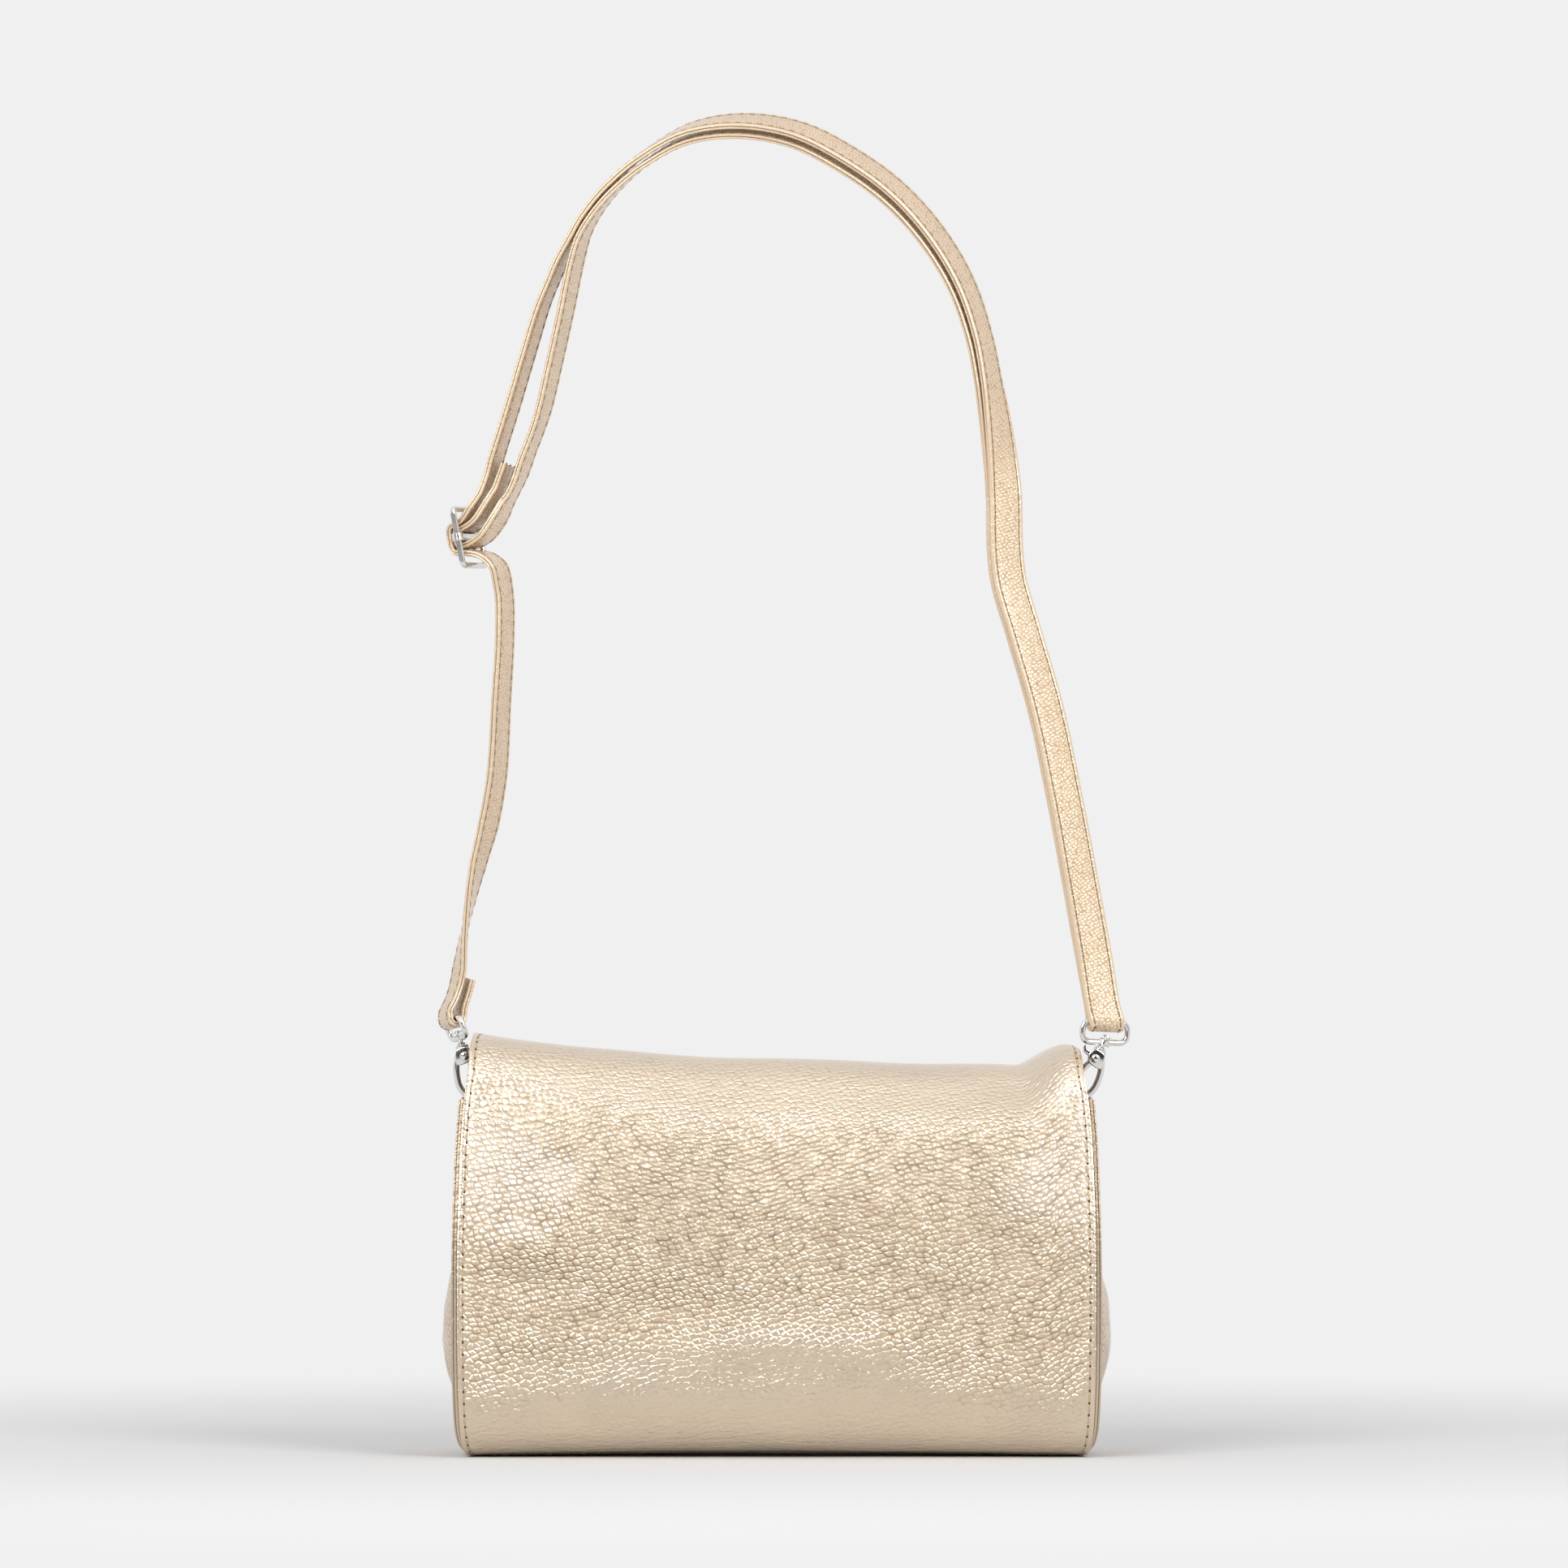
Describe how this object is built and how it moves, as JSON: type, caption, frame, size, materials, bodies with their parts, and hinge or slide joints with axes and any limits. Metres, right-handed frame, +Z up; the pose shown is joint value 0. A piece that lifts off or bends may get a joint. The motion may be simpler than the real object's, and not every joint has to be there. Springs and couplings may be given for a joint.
{
  "type": "crossbody bag",
  "caption": "Soft flap-top crossbody bag with swelling gussets, magnetic snap and a doubled adjustable strap on swivel clip hooks.",
  "frame": {"origin": "middle of the flat strip that the bag stands on", "axes": "+Z up, +X across the bag, -Y out of the sewn rear face, +Y out of the face that the flap closes on"},
  "size_m": [0.2745, 0.0867, 0.5282],
  "materials": {
    "leatherette": "pebbled, champagne-gold metallic",
    "strap_leatherette": "fine pebbled, champagne-gold metallic",
    "lining_cloth": "plain weave",
    "fibreboard": "matt",
    "bright_nickel": "polished plating",
    "spring_steel": "bare steel"
  },
  "bodies": {
    "bag": {"rear_panel": "leatherette", "front_panel": "leatherette", "base_panel": "leatherette", "left_gusset": "leatherette", "right_gusset": "leatherette", "lining": "lining_cloth", "slip_pocket": "lining_cloth", "base_board": "fibreboard", "snap_socket": "bright_nickel", "socket_washer": "spring_steel", "left_ring_tab": "leatherette", "right_ring_tab": "leatherette"},
    "flap": {"flap": "leatherette", "flap_lining": "lining_cloth", "snap_stud": "bright_nickel", "stud_washer": "spring_steel"},
    "strap": {"strap": "strap_leatherette", "slider_frame": "bright_nickel", "slider_bar": "bright_nickel", "left_swivel_eye": "bright_nickel", "right_swivel_eye": "bright_nickel"},
    "left_ring": {"left_d_ring": "bright_nickel"},
    "left_hook": {"left_hook_body": "bright_nickel", "left_gate_rivet": "bright_nickel", "left_gate_spring": "spring_steel"},
    "left_gate": {"left_gate": "bright_nickel"},
    "right_ring": {"right_d_ring": "bright_nickel"},
    "right_hook": {"right_hook_body": "bright_nickel", "right_gate_rivet": "bright_nickel", "right_gate_spring": "spring_steel"},
    "right_gate": {"right_gate": "bright_nickel"}
  },
  "joints": [
    {"name": "flap_hinge", "type": "hinge", "parent": "bag", "child": "flap", "pos_m": [0, -0.026, 0.14325], "axis": [1, 0, 0], "range_deg": [0, 150]},
    {"name": "strap_swing", "type": "hinge", "parent": "bag", "child": "strap", "pos_m": [0, 0, 0.1363], "axis": [1, 0, 0], "range_deg": [-40, 40]},
    {"name": "left_ring_tilt", "type": "hinge", "parent": "bag", "child": "left_ring", "pos_m": [-0.1194, 0, 0.133], "axis": [0, 1, 0], "range_deg": [-5, 5]},
    {"name": "left_hook_swivel", "type": "hinge", "parent": "strap", "child": "left_hook", "pos_m": [-0.12486, 0, 0.16403], "axis": [-0.2756, 0, 0.9613], "range_deg": [-25, 25]},
    {"name": "left_gate_hinge", "type": "hinge", "parent": "left_hook", "child": "left_gate", "pos_m": [-0.12284, 0, 0.15702], "axis": [0, 1, 0], "range_deg": [0, 26], "stiffness_Nm_per_rad": 0.02, "springref_deg": -28.65},
    {"name": "right_ring_tilt", "type": "hinge", "parent": "bag", "child": "right_ring", "pos_m": [0.1194, 0, 0.133], "axis": [0, 1, 0], "range_deg": [-5, 5]},
    {"name": "right_hook_swivel", "type": "hinge", "parent": "strap", "child": "right_hook", "pos_m": [0.129, 0, 0.16232], "axis": [0.4848, 0, 0.8746], "range_deg": [-25, 25]},
    {"name": "right_gate_hinge", "type": "hinge", "parent": "right_hook", "child": "right_gate", "pos_m": [0.12546, 0, 0.15593], "axis": [0, -1, 0], "range_deg": [0, 26], "stiffness_Nm_per_rad": 0.02, "springref_deg": -28.65}
  ]
}
